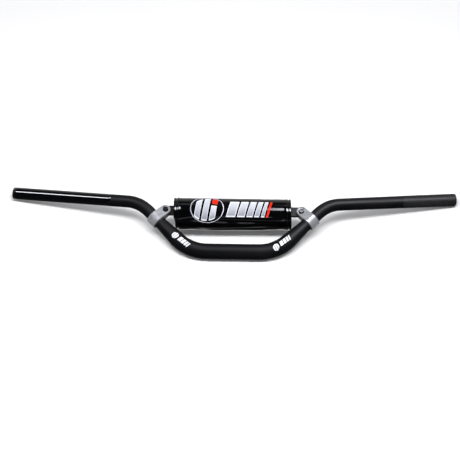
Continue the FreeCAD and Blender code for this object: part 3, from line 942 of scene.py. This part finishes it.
def bar_marks(side):
    """A small roundel and leaning bars on the front of the bar's lower bend."""
    tree = search_tree(nodes["bar_tube"].data)

    def put(along, up, lift):
        slope = DECAL_SLOPE * side
        x = DECAL_MIDDLE[0] * side + along * math.cos(slope) - up * math.sin(slope)
        rise = DECAL_MIDDLE[1] + along * math.sin(slope) + up * math.cos(slope)
        place, normal, _, _ = tree.ray_cast(laid(x, rise, DECAL_PROBE), BACKWARDS, 2 * DECAL_PROBE)
        return place + normal * lift

    name = "left" if side < 0 else "right"
    for index, left in enumerate(DECAL_STRIPES):
        place = clipped_bar(put, DECAL_ROUNDEL, DECAL_ROUNDEL_HALF, left, DECAL_STRIPE_WIDTH,
                            ROUNDEL_LEAN, BAR_INSET)
        print_patch("bar_roundel_%s_%d" % (name, index + 1), place, "bar", white_print, 9, 5)
    left = DECAL_BARS_LEFT
    for index, width in enumerate(DECAL_BAR_WIDTHS):
        place = slanted_bar(put, left, width, DECAL_BARS_LOW, DECAL_BARS_HIGH, BAR_LEAN, BAR_PRINT_LIFT)
        print_patch("bar_stripe_%s_%d" % (name, index + 1), place, "bar", white_print, 7, 5)
        left += width + DECAL_BAR_GAP


# ---------- foam, flap and stitches ----------

FOAM_HOLE_R = 0.0074
FOAM_RECESS_R = 0.0096  # wider ends of that hole, over the lugs' collars
FOAM_RECESS_X = 0.0930  # where the recesses stop, either side of the middle
FOAM_INSET = 0.0017  # from the cover's outer face in to the foam
FOAM_END_GAP = 0.0014
FOAM_SLIT = 0.0015
FOAM_DOME, FOAM_RIM = 0.0005, 0.0006  # how far its ends swell, and pull in at the rim
FOAM_GRAIN = 0.00025


def foam_reach(turn):
    """Distance from the crossbar's axis to the foam's outline in a direction of the section."""
    direction = Vector((math.sin(turn), math.cos(turn)))
    centre = Vector((PAD_MID_RISE - CROSSBAR_RISE, PAD_MID_FRONT))
    low, high = 0.0, 0.05
    for _ in range(24):
        middle = (low + high) / 2
        point = direction * middle - centre
        power = squareness(point.x, point.y)
        size = (abs(point.x / (PAD_HALF_RISE - FOAM_INSET)) ** power
                + abs(point.y / (PAD_HALF_FRONT - FOAM_INSET)) ** power)
        low, high = (middle, high) if size < 1 else (low, middle)
    return low


def pad_foam():
    """Foam block round the crossbar, slit behind, its ends slightly domed and pulled in at the rim."""
    steps, rings, stations, recess_steps, hole_steps = 120, 9, 24, 3, 16
    left, right = BINDING_LEFT + FOAM_END_GAP, BINDING_RIGHT - FOAM_END_GAP
    half_slit = math.asin(FOAM_SLIT / 2 / FOAM_HOLE_R)
    turns = [math.pi + half_slit + (2 * math.pi - 2 * half_slit) * i / steps for i in range(steps + 1)]
    reach = [foam_reach(turn) for turn in turns]
    shares = [j / rings for j in range(rings + 1)]

    def dome(share):
        return FOAM_DOME * math.sin(math.pi * share) - FOAM_RIM * share ** 6

    # Each loop: its share of the way from hole to outline, its x, and the hole's radius there.
    loops = [(share, left - dome(share), FOAM_RECESS_R) for share in shares]
    loops += [(1.0, left + (right - left) * k / stations, FOAM_RECESS_R) for k in range(1, stations)]
    loops += [(share, right + dome(share), FOAM_RECESS_R) for share in reversed(shares)]
    loops += [(0.0, right + (FOAM_RECESS_X - right) * k / recess_steps, FOAM_RECESS_R)
              for k in range(1, recess_steps + 1)]
    loops += [(0.0, FOAM_RECESS_X * (1 - 2 * k / hole_steps), FOAM_HOLE_R) for k in range(hole_steps + 1)]
    loops += [(0.0, -FOAM_RECESS_X + (left + FOAM_RECESS_X) * k / recess_steps, FOAM_RECESS_R)
              for k in range(recess_steps)]
    points = []
    for share, x, hole in loops:
        for turn, outline in zip(turns, reach):
            r = hole + (outline - hole) * share
            p = Vector((x, CROSSBAR_RISE + r * math.sin(turn), r * math.cos(turn)))
            grain = noise.noise(p * 500) * FOAM_GRAIN if 0 < share < 1 else 0
            points.append(LAY @ (p + Vector((grain, 0, 0))))
    columns = steps + 1
    faces = grid_faces(len(loops), columns, close_rows=True)
    for column in (0, columns - 1):
        faces.append(tuple(k * columns + column for k in range(len(loops))))
    made = outward(add_mesh("pad_core", points, faces, foam))
    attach(made, "pad")
    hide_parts("pad_foam")


FLAP_INNER = 0.0019
FLAP_THICK = 0.0012
CORNER_R = 0.0220
FLAP_ROOT_DEG = 45.0
FLAP_TAIL = 0.0070
FLAP_EDGE_R = 0.0006  # how far from its edges the flap's rounding starts
FLAP_SEAM = 0.0050  # from the flap's free edge to its hem's seam
FLAP_WAVE = 0.0005
FLAP_STITCH_LIFT = 0.00012
FLAP_MIDDLE_R = CORNER_R + FLAP_INNER + FLAP_THICK / 2


def rear_point(r, degrees, below=0.0):
    """A point (rise, front) round the pad's rear upper corner, measured from straight back."""
    turn = math.radians(degrees)
    return (PAD_MID_RISE + PAD_HALF_RISE - CORNER_R + r * math.sin(turn) - below,
            PAD_MID_FRONT - PAD_HALF_FRONT + CORNER_R - r * math.cos(turn))


def rounding(from_edge):
    """Share of the flap's thickness left near one of its edges."""
    return math.sqrt(max(0.02, 1 - (1 - min(1, from_edge / FLAP_EDGE_R)) ** 2))


def cover_flap():
    """Closure flap: a hemmed strip that bends round the rear corner, its free edge a little wavy."""
    low, high = mounted_box("cover_flap")
    bend_length = FLAP_MIDDLE_R * math.radians(FLAP_ROOT_DEG)
    total = bend_length + FLAP_TAIL
    rows, columns = 44, 160
    points = []
    for layer in (1, -1):
        for i in range(rows):
            down = total * i / (rows - 1)
            near_tail = total - down
            hem = 0.00022 * hump(near_tail - 0.0022, 0.0022) - 0.00030 * hump(near_tail - FLAP_SEAM, 0.0011)
            root_seam = -0.00028 * hump(down - 0.0028, 0.0012)
            for j in range(columns):
                x = low.x + (high.x - low.x) * j / (columns - 1)
                half = FLAP_THICK / 2 * rounding(near_tail) * rounding(min(x - low.x, high.x - x))
                wave = 0.5 + 0.5 * math.sin(x * 95 + 1.3 * math.sin(x * 40))
                wave = wave * FLAP_WAVE * (down / total) ** 2
                lift = (half + (hem + root_seam if layer > 0 else 0)) * layer + wave
                degrees = FLAP_ROOT_DEG - math.degrees(down / FLAP_MIDDLE_R) if down < bend_length else 0.0
                below = max(0.0, down - bend_length)
                points.append(laid(x, *rear_point(FLAP_MIDDLE_R + lift, degrees, below)))
    count = rows * columns
    faces = grid_faces(rows, columns) + grid_faces(rows, columns, first=count)
    rim = [(i * columns + j, columns) for i in range(rows - 1) for j in (0, columns - 1)]
    rim += [(i * columns + j, 1) for j in range(columns - 1) for i in (0, rows - 1)]
    faces += [(a, a + step, a + step + count, a + count) for a, step in rim]
    made = outward(add_mesh("closure_flap", points, faces, vinyl))
    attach(made, "flap")
    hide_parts("cover_flap")
    seam = rear_point(FLAP_MIDDLE_R + FLAP_THICK / 2 + FLAP_STITCH_LIFT, 0.0, FLAP_TAIL - FLAP_SEAM)
    stitches("flap_stitches", [(laid(x, *seam), ALONG_X, BACKWARDS)
                               for x in spaced(low.x + 0.004, high.x - 0.004, STITCH_PITCH)], "flap")


TAB_LANDING = 0.0510  # distance round the cover, from its front, of the tab's sewn edge
TAB_LIFT = 0.0004
TAB_LEAD = 0.45  # how long the tab keeps the flap's direction, as a share of its length
TAB_THINNING = 0.6
TAB_BEAD_R = 0.00085


def flap_tab(tree):
    """The sewn tab that carries the flap: from a bead along the flap's root over to the cover."""
    low, high = mounted_box("cover_flap")
    root = rear_point(FLAP_MIDDLE_R, FLAP_ROOT_DEG)   # the flap's joint
    turn = math.radians(FLAP_ROOT_DEG)
    onwards = LAY.to_3x3() @ Vector((0, math.cos(turn), math.sin(turn)))
    stations, steps, bead = 96, 10, 7
    points, seam, length = [], [], 0.0
    for i in range(stations):
        x = low.x + (high.x - low.x) * i / (stations - 1)
        start, end = laid(x, *root), on_cover(tree, x, TAB_LANDING, TAB_LIFT)
        middle = start + onwards * (end - start).length * TAB_LEAD
        line = []
        for k in range(steps):
            t = k / (steps - 1)
            line.append(start * (1 - t) ** 2 + middle * (2 * t * (1 - t)) + end * t ** 2)
        length = sum((b - a).length for a, b in zip(line, line[1:]))
        upper, lower = [], []
        for k, centre in enumerate(line):
            ahead = (line[min(k + 1, steps - 1)] - line[max(k - 1, 0)]).normalized()
            out = ahead.cross(ALONG_X)
            half = FLAP_THICK / 2 * (1 - TAB_THINNING * k / (steps - 1))
            if k > 0:
                upper.append(centre + out * half)
                lower.append(centre - out * half)
            if k == steps - 3:
                seam.append((centre + out * half, ALONG_X, out if out.z > 0 else -out))
        first_out = (line[1] - line[0]).normalized().cross(ALONG_X)
        back = (line[0] - line[1]).normalized()
        round_end = []
        for k in range(bead):
            around = math.pi * k / (bead - 1)
            round_end.append(line[0] + (-first_out * math.cos(around) + back * math.sin(around)) * TAB_BEAD_R)
        points += upper + lower[::-1] + round_end
    columns = len(points) // stations
    faces = grid_faces(stations, columns, close_columns=True)
    faces.append(tuple(range(columns)))
    faces.append(tuple((stations - 1) * columns + j for j in range(columns)))
    made = outward(add_mesh("flap_tab", points, faces, vinyl))
    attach(made, "pad")
    stitches("tab_stitches", seam[2:-2:2], "pad")


STITCH_PITCH = 0.0036
STITCH_LENGTH = 0.0026
STITCH_R = 0.00026


def spaced(start, end, pitch):
    """Even places from start to end, about a pitch apart."""
    count = int((end - start) / pitch)
    return [start + (end - start) * i / count for i in range(count + 1)]


def stitches(name, places, body):
    """Rows of thread stitches: each is a small bead that dips at both ends. places: point, along, out."""
    points, faces = [], []
    around, steps = 6, 7
    for middle, along, out in places:
        side = along.cross(out).normalized()
        first = len(points)
        for i in range(steps):
            share = i / (steps - 1)
            r = STITCH_R * math.sqrt(max(0.03, 1 - (2 * share - 1) ** 4))
            lift = STITCH_R * 1.1 * math.sin(math.pi * share) - STITCH_R * 0.6
            centre = middle + along * (STITCH_LENGTH * (share - 0.5)) + out * lift
            for j in range(around):
                turn = 2 * math.pi * j / around
                points.append(centre + (side * math.cos(turn) + out * math.sin(turn)) * r)
        faces += grid_faces(steps, around, close_columns=True, first=first)
        faces.append(tuple(first + j for j in range(around)))
        faces.append(tuple(first + (steps - 1) * around + j for j in reversed(range(around))))
    made = outward(add_mesh(name, points, faces, thread))
    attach(made, body)


def hem_stitches(tree):
    """The seam round each end of the cover."""
    for name, end, inward in (("left", BINDING_LEFT, 1), ("right", BINDING_RIGHT, -1)):
        places = []
        for around in spaced(COVER_LOW_EDGE + 0.003, COVER_TOP_EDGE - 0.003, STITCH_PITCH):
            x = end + inward * HEM
            low = on_cover(tree, x, around - 0.0005, 0.0)
            high = on_cover(tree, x, around + 0.0005, 0.0)
            along = (high - low).normalized()
            out = along.cross(ALONG_X).normalized()
            centre = (low + high) / 2
            inner = laid(x, PAD_MID_RISE, PAD_MID_FRONT)
            out = out if out.dot(centre - inner) > 0 else -out
            places.append((centre + out * 0.0001, along, out))
        stitches("hem_stitches_" + name, places, "pad")


# ---------- putting it together ----------

def paint(node, material):
    nodes[node].data.materials.clear()
    nodes[node].data.materials.append(material)


FLOOR_HALF = 40.0


def make_floor():
    corners = [(x * FLOOR_HALF, y * FLOOR_HALF, FLOOR_Z) for x, y in ((-1, -1), (1, -1), (1, 1), (-1, 1))]
    floor = add_mesh("floor", corners, [(0, 1, 2, 3)], floor_material(), smooth=False)
    floor.visible_glossy = False     # the object mirrors the world below the horizon instead


# One strip overhead in five lengths, seen only by reflections, each as bright as its highlight is.
STRIP_Y, STRIP_Z, STRIP_WIDE = 0.07, 1.5, 0.24
STRIPS = [  # part, middle, length, power
    ("left_end", -1.025, 0.55, 68),
    ("left", -0.625, 0.25, 3.5),
    ("pad", 0.15, 0.22, 10),
    ("right", 0.44, 0.32, 41),
    ("right_end", 0.94, 0.68, 174),
]

make_camera()
make_world()
make_floor()
for part, middle, length, power in STRIPS:
    area_light("overhead_strip_" + part, (middle, STRIP_Y, STRIP_Z), (length, STRIP_WIDE), power,
               diffuse=False)
area_light("low_front_strip", (0, -3.0, 0.42), (1.6, 0.45), 12.0, turn=(90, 0, 0), diffuse=False)
area_light("overhead_soft", (0, -0.40, 1.6), (1.6, 0.45), 42, turn=(-15, 0, 0), glossy=False)
for part, x in (("left", -0.44), ("right", 0.44)):
    area_light("back_panel_" + part, (x, 0.80, 1.43), (0.75, 0.75), 4.5, turn=(30, 0, 0), diffuse=False)
bpy.context.scene.view_settings.view_transform = "Standard"

bar_finish = bar_material()
knurl_finish = black_part_material("knurled_black", 0.010, 0.5, 0.045)
polished_finish = polished_material()
lug_finish = black_part_material("black_lug", 0.004, 0.42, 0.05)
bolt_finish = steel_material("black_bolt", 0.013, 0.20)
zinc_finish = steel_material("zinc_steel", 0.25, 0.32)
silver_finish = clamp_material()
rubber = rubber_material()
vinyl = vinyl_material()
foam = foam_material()
tape = tape_material()
thread = thread_material()
silver_print = print_material("silver_print", (0.58, 0.60, 0.66), (0.22, 0.23, 0.27), (0.70, 0.72, 0.79))
white_print = print_material("white_print", (0.75, 0.75, 0.8), (0.6, 0.6, 0.65), (0.8, 0.8, 0.85))
red_print = print_material("red_print", (0.66, 0.020, 0.009), (0.60, 0.018, 0.008), (0.70, 0.05, 0.025))

for node, finish in (("bar_tube", bar_finish), ("crossbar_tube", lug_finish),
                     ("hook_strip", tape), ("loop_strip", tape)):
    paint(node, finish)
for node, finish in (("crossbar_lug_", lug_finish), ("crossbar_clamp_", silver_finish),
                     ("clamp_liner_", rubber), ("clamp_bolt_", bolt_finish),
                     ("clamp_washer_", zinc_finish), ("clamp_nut_", zinc_finish)):
    paint(node + "left", finish)
    paint(node + "right", finish)

knurl()
polish()
cover_tree = pad_cover()
pad_foam()
cover_flap()
flap_tab(cover_tree)
hem_stitches(cover_tree)
pad_marks(cover_tree)
for side in (-1, 1):
    bar_marks(side)
